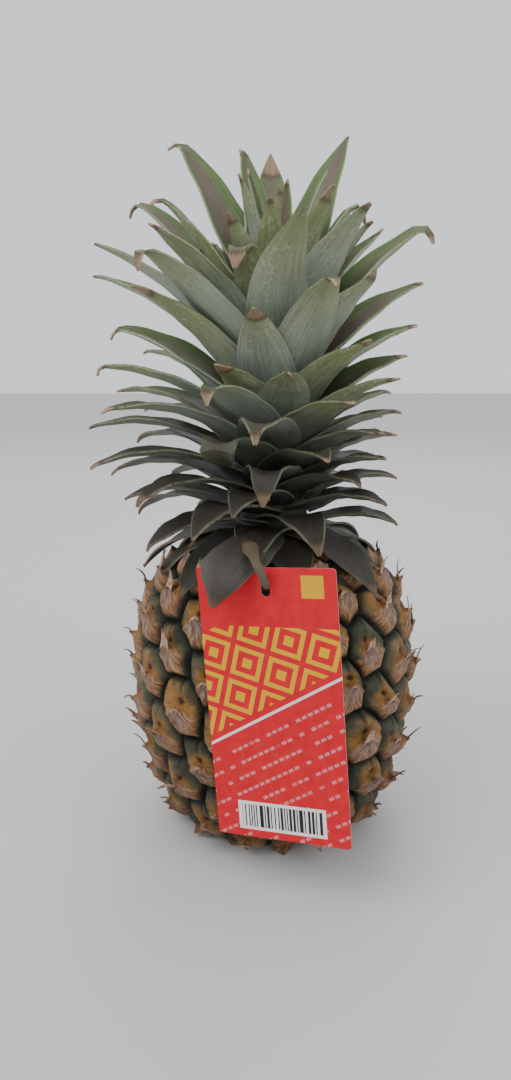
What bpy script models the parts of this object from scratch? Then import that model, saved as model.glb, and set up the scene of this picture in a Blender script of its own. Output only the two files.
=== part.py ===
"""A pineapple with its leaf crown and its card tag, standing on its trimmed base.

Metres, +Z up. The origin is the centre of the flat underside. The tag faces -Y.
"""
import math

import bmesh
import bpy
import numpy as np
from mathutils import Matrix, Vector

GOLDEN_ANGLE = math.radians(137.508)
CLEARANCE = 0.0003
MERGE_DISTANCE = 1e-6

# The fruit: (radius, height) down its side, from inside the trimmed underside to inside the neck.
BODY_OUTLINE = (
    (0.012, -0.0065),
    (0.022, -0.0042),
    (0.033, 0.0000),
    (0.0420, 0.0060),
    (0.0495, 0.0175),
    (0.0555, 0.0360),
    (0.0588, 0.0600),
    (0.0580, 0.0800),
    (0.0545, 0.0965),
    (0.0480, 0.1090),
    (0.0380, 0.1185),
    (0.0260, 0.1245),
    (0.0150, 0.1285),
    (0.0080, 0.1325),
)
BODY_OUTLINE_STEPS = 12
BODY_WIDEST = 0.0588
BODY_HEIGHT = 0.1270
EYE_RISE = 0.00106
EYE_START = math.radians(43.0)
EYE_GROOVE = 0.0032
EYE_SHOULDER = 0.62
EYE_BEAK = 0.0010
EYE_LEAST_SCALE = 0.25

# The crown: a short tapered stem that carries all the leaves in one spiral.
LEAF_COUNT = 96
COLLAR_COUNT = 39
CROWN_START = math.radians(260.0)
STEM_RISE = 0.074
STEM_FOOT = 0.0160
STEM_FOOT_HEIGHT = 0.0020
STEM_HEAD = 0.0026
STEM_TAPER = 0.9
STEM_SIDES = 24
STEM_STEPS = 8
STEM_SLACK = 0.0011
COLLAR_ROOT_DEPTH = 0.0045

# How the leaves change from the lowest (0) to the innermost (1).
LEAF_LIFT = ((0.0, -9.0), (0.13, 3.0), (0.25, 9.0), (0.5, 27.0), (0.74, 46.0), (0.86, 59.0),
             (0.93, 68.0), (1.0, 84.0))
LEAF_BEND = ((0.0, 56.0), (0.25, 50.0), (0.5, 44.0), (0.75, 36.0), (0.9, 24.0), (1.0, 8.0))
LEAF_REACH = ((0.0, 0.048), (0.13, 0.050), (0.25, 0.058), (0.42, 0.062), (0.5, 0.072), (0.6, 0.080),
              (0.7, 0.090), (0.8, 0.090), (0.88, 0.094), (0.94, 0.096), (1.0, 0.076))
LEAF_WIDTH = ((0.0, 0.021), (0.25, 0.023), (0.5, 0.024), (0.75, 0.025), (0.9, 0.022), (1.0, 0.012))
LEAF_ROOT_ANGLE = math.radians(38.0)
LEAF_ROWS = 6
LEAF_PATH_STEPS = 10
LEAF_COLUMNS = 2
LEAF_ROOT_THICKNESS = 0.00055
LEAF_THICKNESS = 0.0011
LEAF_TIP_THICKNESS = 0.0007
LEAF_THICKEST = 0.4
LEAF_TAPER = 1.8
LEAF_TIP_SHARE = 0.05
LEAF_GUTTER = 0.42
LEAF_GUTTER_SPAN = (0.2, 0.75)

# Leaves reach further on the -X side, the lower ones most, and a few are shorter, longer, steeper or turned.
LEAF_FULLNESS = 0.92
LEAF_LEAN = ((0.0, 0.20), (0.5, 0.20), (0.75, 0.10), (1.0, 0.04))
LEAF_OWN_REACH = {3: 1.0, 5: 1.0, 7: 0.6, 11: 0.95, 23: 0.65, 34: 1.15, 42: 0.9, 45: 1.01, 47: 0.62,
                  50: 0.55, 52: 0.7, 53: 0.95, 55: 0.76, 57: 0.74, 58: 0.9, 60: 0.9, 61: 1.1, 62: 0.88,
                  65: 0.73, 66: 0.97, 68: 0.94, 70: 0.94, 71: 0.85, 74: 1.08, 76: 0.7, 78: 0.72, 79: 0.87,
                  81: 0.62, 82: 0.85, 83: 0.79, 84: 0.62, 85: 1.07, 86: 0.7, 87: 1.0, 88: 1.0, 89: 0.6,
                  91: 0.78, 92: 0.75, 93: 0.8, 94: 0.73, 95: 0.87}
LEAF_OWN_TURN = {3: 15, 5: -10, 13: -15, 21: 15, 23: -10, 29: 15, 33: -15, 35: 15, 41: -10, 50: 15,
                 54: -15, 55: 2, 58: 10, 61: 11, 63: -10, 65: -10, 68: 1, 70: -8, 74: -6, 82: 10, 87: -16,
                 90: -8, 91: 10, 94: 8}
LEAF_OWN_LIFT = {55: 4, 57: -4, 58: 2, 65: -3, 70: 2, 74: 3, 83: 2, 94: 7, 95: -2}

# The tag: a stiff card with a keyhole slot, hung on the lowest front leaf.
TAG_WIDTH = 0.051
TAG_LENGTH = 0.102
TAG_THICKNESS = 0.0005
TAG_CORNER = 0.0014
TAG_CENTRE = Vector((-0.0012, -0.0680, 0.0752))
TAG_YAW = math.radians(-21.0)
TAG_ROLL = math.radians(-4.5)
TAG_SLOT_WIDTH = 0.0034
TAG_SLOT_LENGTH = 0.0075
TAG_SLOT_DROP = 0.0065
ARC_STEPS = 6


def clear_scene():
    for item in list(bpy.data.objects):
        bpy.data.objects.remove(item, do_unlink=True)


def material(name, colour, roughness, metallic=0.0):
    made = bpy.data.materials.new(name)
    made.use_nodes = True
    shader = made.node_tree.nodes["Principled BSDF"]
    shader.inputs["Base Color"].default_value = (*colour, 1.0)
    shader.inputs["Roughness"].default_value = roughness
    shader.inputs["Metallic"].default_value = metallic
    return made


def add_object(name, bm, finish):
    bmesh.ops.recalc_face_normals(bm, faces=bm.faces)
    mesh = bpy.data.meshes.new(name)
    bm.to_mesh(mesh)
    bm.free()
    mesh.materials.append(finish)
    made = bpy.data.objects.new(name, mesh)
    bpy.context.scene.collection.objects.link(made)
    return made


def ramp(stops, share):
    """The value that hand-set stops give at a share from 0 to 1."""
    return float(np.interp(share, [stop[0] for stop in stops], [stop[1] for stop in stops]))


def smooth_outline(points, steps):
    """A Catmull-Rom curve through the points, as an array of (radius, height)."""
    inner = [np.array(point) for point in points]
    ends = [2 * inner[0] - inner[1], *inner, 2 * inner[-1] - inner[-2]]
    curve = []
    for before, start, end, after in zip(ends, ends[1:], ends[2:], ends[3:]):
        for step in range(steps):
            t = step / steps
            bend = 2 * before - 5 * start + 4 * end - after
            twist = 3 * start - before - 3 * end + after
            curve.append((2 * start + (end - before) * t + bend * t**2 + twist * t**3) / 2)
    curve.append(ends[-2])
    return np.array(curve)


class BodySurface:
    """The fruit's outline, read by eye number: eyes shrink in step with the radius, as on the plant."""

    def __init__(self):
        self.curve = smooth_outline(BODY_OUTLINE, BODY_OUTLINE_STEPS)
        steps = np.linalg.norm(np.diff(self.curve, axis=0), axis=1)
        middle = (self.curve[1:, 0] + self.curve[:-1, 0]) / 2
        self.number = np.concatenate([[0.0], np.cumsum(steps * BODY_WIDEST / (EYE_RISE * middle))])

    def point(self, angle, number, lift):
        """A point on the skin, lifted along its normal by lift at full size."""
        radius, height = (float(np.interp(number, self.number, self.curve[:, axis])) for axis in (0, 1))
        ahead = [float(np.interp(number + 1, self.number, self.curve[:, axis])) for axis in (0, 1)]
        along = Vector((ahead[0] - radius, ahead[1] - height)).normalized()
        scale = min(1.0, radius / BODY_WIDEST + EYE_LEAST_SCALE)
        radius += along.y * lift * scale
        height -= along.x * lift * scale
        return Vector((radius * math.cos(angle), radius * math.sin(angle), height))


def turned_step(count):
    """The angle between eyes that are count apart in the spiral, from -180 to 180 degrees."""
    return (-count * GOLDEN_ANGLE + math.pi) % (2 * math.pi) - math.pi


def make_fruit(finish):
    """Every eye is a six-sided scale whose corners lie midway between it and its two neighbours."""
    surface = BodySurface()
    eight = np.array((turned_step(8), 8.0))
    thirteen = np.array((turned_step(13), 13.0))
    both = eight + thirteen
    corners = [(eight + both) / 3, (both + thirteen) / 3, (thirteen - eight) / 3]
    corners += [-corner for corner in corners]
    reach = max(corner[1] for corner in corners)
    bm = bmesh.new()
    for eye in range(math.ceil(reach), int(surface.number[-1] - reach)):
        angle = EYE_START - eye * GOLDEN_ANGLE
        rings = []
        for share, lift in ((1.0, -EYE_GROOVE), (EYE_SHOULDER, 0.0)):
            ends = [(angle + turn * share, eye + number * share) for turn, number in corners]
            rings.append([bm.verts.new(surface.point(*end, lift)) for end in ends])
        rim, ring = rings
        beak = bm.verts.new(surface.point(angle, eye, EYE_BEAK))
        for a in range(len(corners)):
            b = (a + 1) % len(corners)
            bm.faces.new((rim[a], rim[b], ring[b], ring[a]))
            bm.faces.new((ring[a], ring[b], beak))
    bmesh.ops.remove_doubles(bm, verts=bm.verts, dist=MERGE_DISTANCE)
    for height, facing in ((0.0, -1.0), (BODY_HEIGHT, 1.0)):
        parts = bm.verts[:] + bm.edges[:] + bm.faces[:]
        place = {"plane_co": (0, 0, height), "plane_no": (0, 0, facing)}
        cut = bmesh.ops.bisect_plane(bm, geom=parts, clear_outer=True, **place)
        edges = [item for item in cut["geom_cut"] if isinstance(item, bmesh.types.BMEdge)]
        bmesh.ops.edgeloop_fill(bm, edges=edges)
    return add_object("fruit", bm, finish)


def stem_radius(share):
    return STEM_FOOT + (STEM_HEAD - STEM_FOOT) * share**STEM_TAPER


def stem_height(share):
    return BODY_HEIGHT + CLEARANCE + STEM_FOOT_HEIGHT + STEM_RISE * share


def make_stem_solid():
    """A turned cone with a rounded head, as a closed bmesh."""
    outline = [(STEM_FOOT - STEM_SLACK, BODY_HEIGHT + CLEARANCE)]
    for step in range(STEM_STEPS + 1):
        share = step / STEM_STEPS
        outline.append((stem_radius(share) - STEM_SLACK, stem_height(share)))
    bm = bmesh.new()
    verts = [bm.verts.new((radius, 0, height)) for radius, height in outline]
    edges = [bm.edges.new(pair) for pair in zip(verts, verts[1:])]
    bmesh.ops.spin(bm, geom=verts + edges, axis=(0, 0, 1), angle=2 * math.pi, steps=STEM_SIDES)
    bmesh.ops.remove_doubles(bm, verts=bm.verts, dist=MERGE_DISTANCE)
    rims = [edge for edge in bm.edges if edge.is_boundary]
    bmesh.ops.holes_fill(bm, edges=rims, sides=0)
    bmesh.ops.recalc_face_normals(bm, faces=bm.faces)
    return bm


def leaf_path(share, own_lift, fullness, root_depth):
    """The (radius, height, direction) down a leaf, an arc that leaves the stem upwards and bends out.

    The first point is root_depth further in, where the root is let into the stem.
    """
    lift = math.radians(ramp(LEAF_LIFT, share) + own_lift)
    bend = math.radians(ramp(LEAF_BEND, share))
    chord = ramp(LEAF_REACH, share)
    length = chord * (bend / 2) / math.sin(bend / 2)
    radius = stem_radius(share) + CLEARANCE
    height = stem_height(share)
    path = []
    steps = LEAF_ROWS * LEAF_PATH_STEPS
    step = length * fullness / steps
    for count in range(steps + 1):
        travelled = count * step / length
        slope = lift + bend / 2 - bend * travelled
        if count % LEAF_PATH_STEPS == 0:
            path.append((radius, height, slope))
        radius += step * math.cos(slope)
        height += step * math.sin(slope)
    radius, height, slope = path[0]
    path[0] = (radius - root_depth * math.cos(slope), height - root_depth * math.sin(slope), slope)
    return path


def leaf_turn(number):
    return CROWN_START - number * GOLDEN_ANGLE + math.radians(LEAF_OWN_TURN.get(number, 0))


def leaf_fullness(number, share):
    """How much of its usual length a leaf has."""
    usual = LEAF_FULLNESS - ramp(LEAF_LEAN, share) * math.cos(leaf_turn(number))
    return LEAF_OWN_REACH.get(number, usual)


def add_leaf(bm, number, root_depth):
    """One leaf as a closed blade in bm: a grid wrapped round the stem's axis, thickened row by row."""
    share = number / (LEAF_COUNT - 1)
    turn = leaf_turn(number)
    path = leaf_path(share, LEAF_OWN_LIFT.get(number, 0), leaf_fullness(number, share), root_depth)
    width = ramp(LEAF_WIDTH, share)
    thicknesses = ((0.0, LEAF_ROOT_THICKNESS), (LEAF_THICKEST, LEAF_THICKNESS), (1.0, LEAF_TIP_THICKNESS))
    sides = {1: [], -1: []}
    for row, (radius, height, slope) in enumerate(path):
        along = row / LEAF_ROWS
        half = width / 2 * (1 - (1 - LEAF_TIP_SHARE) * along**LEAF_TAPER)
        spread = min(half / radius, LEAF_ROOT_ANGLE)
        gutter = LEAF_GUTTER * half * float(np.interp(along, LEAF_GUTTER_SPAN, (0, 1)))
        thick = ramp(thicknesses, along) / 2
        for side, rows in sides.items():
            line = []
            for column in range(LEAF_COLUMNS + 1):
                across = 2 * column / LEAF_COLUMNS - 1
                rise = side * thick + gutter * across**2
                r = radius - math.sin(slope) * rise
                z = height + math.cos(slope) * rise
                angle = turn + spread * across
                line.append(bm.verts.new((r * math.cos(angle), r * math.sin(angle), z)))
            rows.append(line)
    upper, lower = sides[1], sides[-1]
    for row in range(LEAF_ROWS):
        for column in range(LEAF_COLUMNS):
            for rows in (upper, lower):
                near = rows[row][column:column + 2]
                far = rows[row + 1][column:column + 2]
                bm.faces.new((near[0], far[0], far[1], near[1]))
        for column in (0, LEAF_COLUMNS):
            near = (lower[row][column], upper[row][column])
            bm.faces.new((*near, upper[row + 1][column], lower[row + 1][column]))
    for row in (0, LEAF_ROWS):
        for column in range(LEAF_COLUMNS):
            near = (lower[row][column], upper[row][column])
            bm.faces.new((*near, upper[row][column + 1], lower[row][column + 1]))


def make_collar(finish_stem):
    """The stem and the short lower leaves that grow on it, joined as one solid."""
    stem = add_object("crown_stem", make_stem_solid(), finish_stem)
    bm = bmesh.new()
    for number in range(COLLAR_COUNT):
        add_leaf(bm, number, COLLAR_ROOT_DEPTH)
    leaves = add_object("collar_leaves", bm, finish_stem)
    leaves.hide_render = True
    leaves.display_type = "WIRE"
    union = stem.modifiers.new("join_collar", "BOOLEAN")
    union.operation = "UNION"
    union.object = leaves
    return stem


def make_leaves(finish):
    for number in range(COLLAR_COUNT, LEAF_COUNT):
        bm = bmesh.new()
        add_leaf(bm, number, 0.0)
        add_object(f"leaf_{number - COLLAR_COUNT + 1:02d}", bm, finish)


def rounded_outline(width, length, corner):
    """Corner points of a rounded rectangle, anticlockwise, centred on the origin."""
    points = []
    for quarter, (x, y) in enumerate(((1, 1), (-1, 1), (-1, -1), (1, -1))):
        for step in range(ARC_STEPS + 1):
            angle = (quarter + step / ARC_STEPS) * math.pi / 2
            points.append((x * (width / 2 - corner) + corner * math.cos(angle),
                           y * (length / 2 - corner) + corner * math.sin(angle)))
    return points


def card(points, thickness):
    """A flat plate of the outline, standing upright in XZ and facing -Y."""
    bm = bmesh.new()
    face = bm.faces.new([bm.verts.new((x, thickness / 2, z)) for x, z in points])
    made = bmesh.ops.extrude_face_region(bm, geom=[face])
    moved = [item for item in made["geom"] if isinstance(item, bmesh.types.BMVert)]
    bmesh.ops.translate(bm, verts=moved, vec=(0, -thickness, 0))
    return bm


def make_tag(finish):
    """The card, with the slot cut through near its top edge."""
    outline = rounded_outline(TAG_WIDTH, TAG_LENGTH, TAG_CORNER)
    tag = add_object("tag", card(outline, TAG_THICKNESS), finish)
    slot = rounded_outline(TAG_SLOT_WIDTH, TAG_SLOT_LENGTH, TAG_SLOT_WIDTH / 2.01)
    cutter = add_object("tag_slot_cutter", card(slot, 4 * TAG_THICKNESS), finish)
    cutter.location = (0, 0, TAG_LENGTH / 2 - TAG_SLOT_DROP)
    cutter.hide_render = True
    cutter.display_type = "WIRE"
    hole = tag.modifiers.new("slot", "BOOLEAN")
    hole.operation = "DIFFERENCE"
    hole.object = cutter
    hanger = bpy.data.objects.new("tag_hanger", None)
    bpy.context.scene.collection.objects.link(hanger)
    hanger.matrix_world = (Matrix.Translation(TAG_CENTRE) @ Matrix.Rotation(TAG_YAW, 4, "Z")
                           @ Matrix.Rotation(TAG_ROLL, 4, "Y"))
    tag.parent = hanger
    cutter.parent = hanger
    return tag


def main():
    clear_scene()
    skin = material("fruit_skin", (0.36, 0.24, 0.09), 0.55)
    stem = material("crown_stem", (0.22, 0.26, 0.16), 0.6)
    leaf = material("leaf", (0.20, 0.27, 0.20), 0.5)
    print_card = material("tag_card", (0.72, 0.06, 0.06), 0.4)
    make_fruit(skin)
    make_collar(stem)
    make_leaves(leaf)
    make_tag(print_card)


main()
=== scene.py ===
# %% [markdown]
# # A pineapple with its crown and its card tag
#
# The packed model gives the sizes: a fruit, a crown of stiff leaves and a card. This script dresses it. The
# plain solids are replaced by fine meshes that follow the same two rules as the plant: the eyes of the fruit
# and the leaves of the crown both sit on one spiral that turns by the golden angle from each to the next.

# %% Load the frame
import math
import random

import bpy
import numpy as np
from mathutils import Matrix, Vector, noise


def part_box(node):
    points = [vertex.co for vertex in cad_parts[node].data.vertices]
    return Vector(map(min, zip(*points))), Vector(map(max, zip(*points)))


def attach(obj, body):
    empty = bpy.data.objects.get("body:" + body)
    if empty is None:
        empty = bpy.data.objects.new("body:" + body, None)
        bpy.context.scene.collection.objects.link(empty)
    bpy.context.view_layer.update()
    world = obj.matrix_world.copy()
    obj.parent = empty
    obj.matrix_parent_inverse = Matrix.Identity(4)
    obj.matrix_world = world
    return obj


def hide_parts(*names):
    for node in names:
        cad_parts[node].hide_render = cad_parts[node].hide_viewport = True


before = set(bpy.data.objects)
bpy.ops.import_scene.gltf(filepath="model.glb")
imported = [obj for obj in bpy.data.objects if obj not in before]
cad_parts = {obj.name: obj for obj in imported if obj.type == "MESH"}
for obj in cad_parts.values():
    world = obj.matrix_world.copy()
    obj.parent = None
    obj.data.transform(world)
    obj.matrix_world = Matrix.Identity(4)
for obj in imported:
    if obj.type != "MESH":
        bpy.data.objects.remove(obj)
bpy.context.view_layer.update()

fruit_low, fruit_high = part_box("fruit")
FRUIT_TOP = fruit_high[2]
GOLDEN_ANGLE = math.radians(137.508)
print("fruit top", round(FRUIT_TOP, 4), "nodes", len(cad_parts))

# %% [markdown]
# ## Helpers for every piece
#
# Blender's operators act on whatever is selected, so each step starts by clearing the selection. A mesh can
# carry its own named numbers at each point, called attributes. A material reads them back, so colour follows
# the shape of a leaf or an eye with no image and no unwrapping.


# %% Helpers for selection, meshes and attributes
MERGE_REACH = 1e-6


def select_only(*objects):
    bpy.ops.object.select_all(action="DESELECT")
    for item in objects:
        item.select_set(True)
    bpy.context.view_layer.objects.active = objects[0]


def mesh_object(name, points, faces):
    mesh = bpy.data.meshes.new(name)
    mesh.from_pydata([tuple(point) for point in points], [], faces)
    made = bpy.data.objects.new(name, mesh)
    bpy.context.scene.collection.objects.link(made)
    select_only(made)
    return made


def set_attribute(piece, name, values):
    """One named number at each point of the piece."""
    layer = piece.data.attributes.new(name, "FLOAT", "POINT")
    layer.data.foreach_set("value", np.asarray(values, dtype=np.float32))


def set_numbers(piece, **numbers):
    """Named numbers that are the same at every point of the piece."""
    for name, value in numbers.items():
        set_attribute(piece, name, np.full(len(piece.data.vertices), value))


def face_outwards(piece):
    select_only(piece)
    bpy.ops.object.mode_set(mode="EDIT")
    bpy.ops.mesh.select_all(action="SELECT")
    bpy.ops.mesh.remove_doubles(threshold=MERGE_REACH)
    bpy.ops.mesh.normals_make_consistent(inside=False)
    bpy.ops.object.mode_set(mode="OBJECT")


def shade(piece, degrees):
    select_only(piece)
    bpy.ops.object.shade_smooth_by_angle(angle=math.radians(degrees))


def apply_all(piece):
    select_only(piece)
    for modifier in list(piece.modifiers):
        bpy.ops.object.modifier_apply(modifier=modifier.name)


def smooth_step(low, high, value):
    share = np.clip((value - low) / (high - low), 0.0, 1.0)
    return share * share * (3 - 2 * share)


def ramp(stops, share):
    """The value that listed stops give at a share from 0 to 1."""
    return np.interp(share, [stop[0] for stop in stops], [stop[1] for stop in stops])


def unit(vector):
    return vector / np.linalg.norm(vector)


print("points nearer than", MERGE_REACH, "m are merged")

# %% [markdown]
# ## Shader maths as Python
#
# A material is a graph of nodes. Written out one node at a time, a sum such as 1 - mask takes three lines,
# so a small class wraps a socket and turns Python's operators into Math nodes.


# %% A socket that understands operators
class Value:
    def __init__(self, graph, socket):
        self.graph = graph
        self.socket = socket

    def math(self, operation, *others):
        values = {place: other for place, other in enumerate((self, *others))}
        return self.graph.add("ShaderNodeMath", {"operation": operation}, values)

    def __add__(self, other):
        return self.math("ADD", other)

    def __radd__(self, other):
        return self.math("ADD", other)

    def __sub__(self, other):
        return self.math("SUBTRACT", other)

    def __rsub__(self, other):
        return (self * -1.0) + other

    def __mul__(self, other):
        return self.math("MULTIPLY", other)

    def __rmul__(self, other):
        return self.math("MULTIPLY", other)

    def __pow__(self, other):
        return self.math("POWER", other)

    def __gt__(self, other):
        return self.math("GREATER_THAN", other)

    def size(self):
        return self.math("ABSOLUTE")

    def whole(self):
        return self.math("FLOOR")

    def part(self):
        return self.math("FRACT")

    def between(self, low, high):
        """0 below low, 1 above high, and a smooth step between them. low may be the greater."""
        settings = {"interpolation_type": "SMOOTHSTEP"}
        values = {"Value": self, "From Min": low, "From Max": high}
        return self.graph.add("ShaderNodeMapRange", settings, values)


# The Mix node has sockets for numbers, vectors and colours, so the colour ones are chosen by their place.
MIX_FACTOR, MIX_FIRST, MIX_SECOND = 0, 6, 7
MIX_COLOUR = 2
TONE_SPAN = (0.3, 0.7)


class Graph:
    """A material's node graph, with one method that adds any node."""

    def __init__(self, name):
        self.material = bpy.data.materials.new(name)
        self.material.use_nodes = True
        self.nodes = self.material.node_tree.nodes
        self.links = self.material.node_tree.links
        self.shader = self.nodes["Principled BSDF"]

    def add(self, kind, settings=None, values=None, output=0):
        node = self.nodes.new(kind)
        for name, setting in (settings or {}).items():
            setattr(node, name, setting)
        for name, value in (values or {}).items():
            if isinstance(value, Value):
                self.links.new(value.socket, node.inputs[name])
            else:
                node.inputs[name].default_value = value
        return Value(self, node.outputs[output])

    def read(self, name):
        """A number that the mesh carries at each point."""
        return self.add("ShaderNodeAttribute", {"attribute_name": name}, output="Fac")

    def place(self):
        return self.add("ShaderNodeTexCoord", output="Object")

    def vector(self, x, y, z):
        return self.add("ShaderNodeCombineXYZ", None, {"X": x, "Y": y, "Z": z})

    def split(self, vector):
        parts = self.add("ShaderNodeSeparateXYZ", None, {"Vector": vector})
        outputs = parts.socket.node.outputs
        return [Value(self, outputs[axis]) for axis in range(3)]

    def noise(self, vector, scale, detail=3.0, rough=0.5):
        values = {"Vector": vector, "Scale": scale, "Detail": detail, "Roughness": rough}
        return self.add("ShaderNodeTexNoise", None, values)

    def mix(self, factor, first, second):
        """One colour over another."""
        first, second = (tone if isinstance(tone, Value) else (*tone, 1.0) for tone in (first, second))
        values = {MIX_FACTOR: factor, MIX_FIRST: first, MIX_SECOND: second}
        return self.add("ShaderNodeMix", {"data_type": "RGBA"}, values, output=MIX_COLOUR)

    def blend(self, mask, tones, span=TONE_SPAN):
        """From the first of two tones to the second, as the mask goes through the span."""
        return self.mix(mask.between(*span), *tones)

    def darken(self, colour, share):
        """A colour times a number."""
        values = {0: colour, "Scale": share}
        return self.add("ShaderNodeVectorMath", {"operation": "SCALE"}, values)

    def finish(self, colour, roughness, height=None, depth=0.001, **constants):
        for name, value in (("Base Color", colour), ("Roughness", roughness)):
            if isinstance(value, Value):
                self.links.new(value.socket, self.shader.inputs[name])
            else:
                self.shader.inputs[name].default_value = value
        if height is not None:
            bump = self.add("ShaderNodeBump", None, {"Height": height, "Distance": depth, "Strength": 1.0})
            self.links.new(bump.socket, self.shader.inputs["Normal"])
        for name, value in constants.items():
            self.shader.inputs[name.replace("_", " ")].default_value = value
        print("material", self.material.name, "nodes", len(self.nodes))
        return self.material


print("a shader value has", len([name for name in vars(Value) if not name.startswith("__")]), "named steps")

# %% [markdown]
# ## The camera
#
# The camera looks slightly down on the pineapple from its front, about a third of a metre away. So near,
# things at the front look larger, which is why the distance matters as much as the direction.

# %% Set the camera
CAMERA_PLACE = (-0.0078, -0.3360, 0.1930)
CAMERA_PITCH = math.radians(78.0)
SENSOR_HEIGHT = 36.0
LENS = 27.03
NEAREST_SHOWN = 0.01

lens = bpy.data.cameras.new("camera")
lens.sensor_fit = "VERTICAL"
lens.sensor_height = SENSOR_HEIGHT
lens.lens = LENS
lens.clip_start = NEAREST_SHOWN
camera = bpy.data.objects.new("camera", lens)
camera.location = CAMERA_PLACE
camera.rotation_euler = (CAMERA_PITCH, 0.0, 0.0)
bpy.context.scene.collection.objects.link(camera)
bpy.context.scene.camera = camera
print("camera", CAMERA_PLACE, "lens", LENS)

# %% [markdown]
# ## The floor and the light
#
# The floor is one plain pale plane, and three broad lamps and a pale sky give soft light with no hard
# shadows. A lamp is aimed by turning its own -Z axis along the line to its target.

# %% Make the floor, the sky and the lamps
FLOOR_SIZE = 12.0
FLOOR_GAP = 0.0002
FLOOR_TONES = ((0.5880, 0.5782, 0.5586), (0.6120, 0.6018, 0.5814))
FLOOR_SPECKLE = 900.0
FLOOR_ROUGHNESS = 0.55
SKY_TONE = (0.76, 0.78, 0.82)
SKY_STRENGTH = 1.32

bpy.ops.object.select_all(action="DESELECT")
bpy.ops.mesh.primitive_plane_add(size=FLOOR_SIZE, location=(0, 0, fruit_low[2] - FLOOR_GAP))
floor = bpy.context.object
floor.name = "floor"
floor_paint = Graph("floor_paint")
floor_tone = floor_paint.mix(floor_paint.noise(floor_paint.place(), FLOOR_SPECKLE), *FLOOR_TONES)
floor.data.materials.append(floor_paint.finish(floor_tone, FLOOR_ROUGHNESS))

sky = bpy.data.worlds.new("sky")
sky.use_nodes = True
sky.node_tree.nodes["Background"].inputs["Color"].default_value = (*SKY_TONE, 1.0)
sky.node_tree.nodes["Background"].inputs["Strength"].default_value = SKY_STRENGTH
bpy.context.scene.world = sky

LAMPS = (
    ("key_lamp", (-0.9, -0.7, 1.5), 1.1, 15.0),
    ("fill_lamp", (1.1, -0.9, 0.8), 1.2, 5.0),
    ("back_lamp", (0.2, 1.2, 1.2), 1.0, 6.0),
)
LAMP_TARGET = Vector((0.0, 0.0, 0.13))
for name, place, size, power in LAMPS:
    lamp = bpy.data.lights.new(name, "AREA")
    lamp.size = size
    lamp.energy = power
    holder = bpy.data.objects.new(name, lamp)
    holder.location = place
    holder.rotation_euler = (LAMP_TARGET - Vector(place)).to_track_quat("-Z", "Y").to_euler()
    bpy.context.scene.collection.objects.link(holder)
print("lamps", len(LAMPS))

# %% [markdown]
# ## The fruit's outline and its eyes
#
# A pineapple is many small fruits grown together. Each shows as a six-sided eye, and the eyes wind up the
# fruit in one spiral. The outline is a smooth curve through a few given points. Reading it by eye number
# instead of by height makes the eyes shrink with the girth, as they do on the plant.

# %% The outline, read by eye number
OUTLINE = (
    (0.012, -0.0065), (0.022, -0.0042), (0.033, 0.0000), (0.0420, 0.0060), (0.0495, 0.0175),
    (0.0555, 0.0360), (0.0588, 0.0600), (0.0580, 0.0800), (0.0545, 0.0965), (0.0480, 0.1090),
    (0.0380, 0.1185), (0.0260, 0.1245), (0.0150, 0.1285), (0.0080, 0.1325),
)
OUTLINE_STEPS = 12
WIDEST = 0.0588
EYE_RISE = 0.00106
EYE_START = math.radians(43.0)
EYE_LEAST_SCALE = 0.25
JOSTLE_SCALE = 62.0
JOSTLE_TURN = 0.075
JOSTLE_CLIMB = 3.2
JOSTLE_APART = Vector((9.3, -1.5, -7.9))


def smooth_outline(points, steps):
    """A Catmull-Rom curve through the points."""
    inner = [np.array(point, dtype=float) for point in points]
    ends = [2 * inner[0] - inner[1], *inner, 2 * inner[-1] - inner[-2]]
    curve = []
    for before, start, end, after in zip(ends, ends[1:], ends[2:], ends[3:]):
        for step in range(steps):
            t = step / steps
            bend = 2 * before - 5 * start + 4 * end - after
            twist = 3 * start - before - 3 * end + after
            curve.append((2 * start + (end - before) * t + bend * t**2 + twist * t**3) / 2)
    curve.append(ends[-2])
    return np.array(curve)


curve = smooth_outline(OUTLINE, OUTLINE_STEPS)
girth = (curve[1:, 0] + curve[:-1, 0]) / 2
climb = np.linalg.norm(np.diff(curve, axis=0), axis=1) * WIDEST / (EYE_RISE * girth)
curve_number = np.concatenate([[0.0], np.cumsum(climb)])


def skin_frame(angle, number):
    """The point, outward direction, upward direction and size of the skin at an angle and eye number."""
    radius, height = (np.interp(number, curve_number, curve[:, axis]) for axis in (0, 1))
    ahead = [np.interp(number + 1, curve_number, curve[:, axis]) for axis in (0, 1)]
    run, rise = ahead[0] - radius, ahead[1] - height
    length = np.hypot(run, rise)
    run, rise = run / length, rise / length
    side = np.stack([np.cos(angle), np.sin(angle)], -1)
    point = np.concatenate([side * radius[..., None], height[..., None]], -1)
    outward = np.concatenate([side * rise[..., None], -run[..., None]], -1)
    upward = np.concatenate([side * run[..., None], rise[..., None]], -1)
    return point, outward, upward, np.minimum(1.0, radius / WIDEST + EYE_LEAST_SCALE)


def jostled(angle, number):
    """The same places pushed about a little, so that no eye is a perfect six-sided tile."""
    point = skin_frame(angle, number)[0]
    turn = np.array([noise.noise(Vector(place) * JOSTLE_SCALE) for place in point])
    rise = np.array([noise.noise(Vector(place) * JOSTLE_SCALE + JOSTLE_APART) for place in point])
    return angle + turn * JOSTLE_TURN, number + rise * JOSTLE_CLIMB


def turned_step(count):
    """The angle between eyes that are count apart in the spiral, from -180 to 180 degrees."""
    return (-count * GOLDEN_ANGLE + math.pi) % (2 * math.pi) - math.pi


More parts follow.
